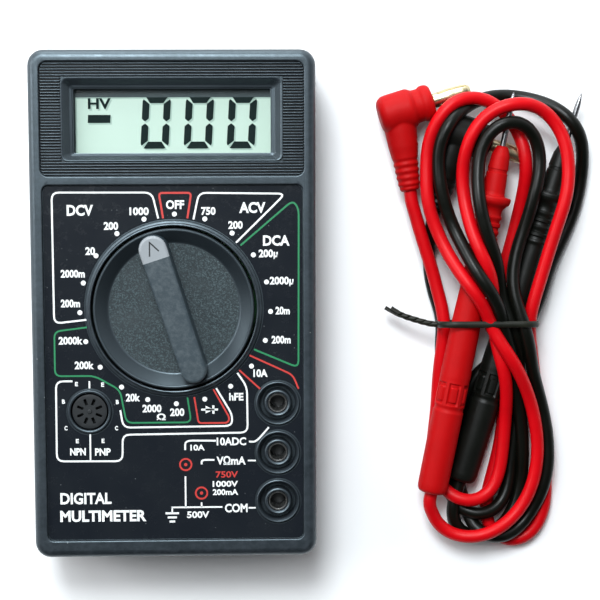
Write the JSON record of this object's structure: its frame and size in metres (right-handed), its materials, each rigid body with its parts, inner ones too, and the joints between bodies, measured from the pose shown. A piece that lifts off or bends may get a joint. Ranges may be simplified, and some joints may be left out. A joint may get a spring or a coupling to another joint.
{
  "type": "handheld digital multimeter",
  "caption": "Handheld digital multimeter lying on its back, with display window, rotary range selector, input jacks, transistor socket and tied test leads.",
  "frame": {"origin": "centre of the meter's rear face, which it lies on", "axes": "+X to the right of the front panel, +Y towards the display end, +Z out of the front panel"},
  "size_m": [0.1422, 0.127, 0.028],
  "materials": {
    "case_plastic": "satin moulded",
    "knob_plastic": "satin moulded",
    "label_print": "printed film",
    "clear_window": "clear",
    "lcd_glass": "reflective",
    "dark_insert": "moulded",
    "silicone": "matt",
    "board_laminate": "lacquered",
    "brass_contact": "bright",
    "plated_steel": "bright",
    "fuse_tube": "clear",
    "epoxy_black": "cured",
    "resistor_body": "lacquered",
    "capacitor_body": "dipped",
    "pot_body": "moulded",
    "battery_can": "printed sleeve",
    "shunt_alloy": "drawn wire",
    "red_vinyl": "semi-gloss",
    "black_vinyl": "semi-gloss",
    "pin_brass": "plated",
    "probe_steel": "plated",
    "tie_plastic": "coated wire"
  },
  "bodies": {
    "meter": {"front_case": "case_plastic", "face_label": "label_print", "transistor_socket": "dark_insert", "jack_10a": "brass_contact", "jack_volt": "brass_contact", "jack_com": "brass_contact", "display_lens": "clear_window", "lcd_panel": "lcd_glass", "lcd_frame": "dark_insert", "zebra_strip": "silicone", "circuit_board": "board_laminate", "fuse_glass": "fuse_tube", "fuse_cap_1": "plated_steel", "fuse_cap_2": "plated_steel", "fuse_clip_1": "brass_contact", "fuse_clip_2": "brass_contact", "shunt_wire": "shunt_alloy", "chip_blob": "epoxy_black", "trim_potentiometer": "pot_body", "resistor_1": "resistor_body", "resistor_2": "resistor_body", "resistor_3": "resistor_body", "resistor_4": "resistor_body", "capacitor_1": "capacitor_body", "capacitor_2": "capacitor_body", "board_screw_1": "plated_steel", "board_screw_2": "plated_steel", "board_screw_3": "plated_steel", "battery": "battery_can", "battery_terminal_positive": "plated_steel", "battery_terminal_negative": "plated_steel", "battery_snap": "black_vinyl", "battery_wire_red": "red_vinyl", "battery_wire_black": "black_vinyl"},
    "selector": {"selector_knob": "knob_plastic", "detent_ball_1": "plated_steel", "detent_ball_2": "plated_steel", "detent_spring_1": "plated_steel", "detent_spring_2": "plated_steel", "contact_wiper_1": "brass_contact", "contact_wiper_2": "brass_contact", "contact_wiper_3": "brass_contact"},
    "rear_cover": {"rear_cover": "case_plastic"},
    "case_screw_1": {"case_screw_1": "plated_steel"},
    "case_screw_2": {"case_screw_2": "plated_steel"},
    "test_leads": {"red_plug_body": "red_vinyl", "red_plug_pin": "pin_brass", "red_lead_hank": "red_vinyl", "red_probe_handle": "red_vinyl", "red_probe_tip": "probe_steel", "black_plug_body": "black_vinyl", "black_plug_pin": "pin_brass", "black_lead_hank": "black_vinyl", "black_probe_handle": "black_vinyl", "black_probe_tip": "probe_steel", "twist_tie": "tie_plastic"}
  },
  "joints": [
    {"name": "selector_turn", "type": "hinge", "parent": "meter", "child": "selector", "pos_m": [0, -0.0005, 0.022], "axis": [0, 0, 1], "continuous": true},
    {"name": "rear_cover_off", "type": "slide", "parent": "meter", "child": "rear_cover", "axis": [0, 0, -1], "range_m": [0, 0.03]},
    {"name": "case_screw_1_out", "type": "slide", "parent": "rear_cover", "child": "case_screw_1", "axis": [0, 0, -1], "range_m": [0, 0.018]},
    {"name": "case_screw_2_out", "type": "slide", "parent": "rear_cover", "child": "case_screw_2", "axis": [0, 0, -1], "range_m": [0, 0.018]},
    {"name": "leads_lift", "type": "slide", "parent": "meter", "child": "test_leads", "axis": [0, 0, 1], "range_m": [0, 0.1]}
  ]
}
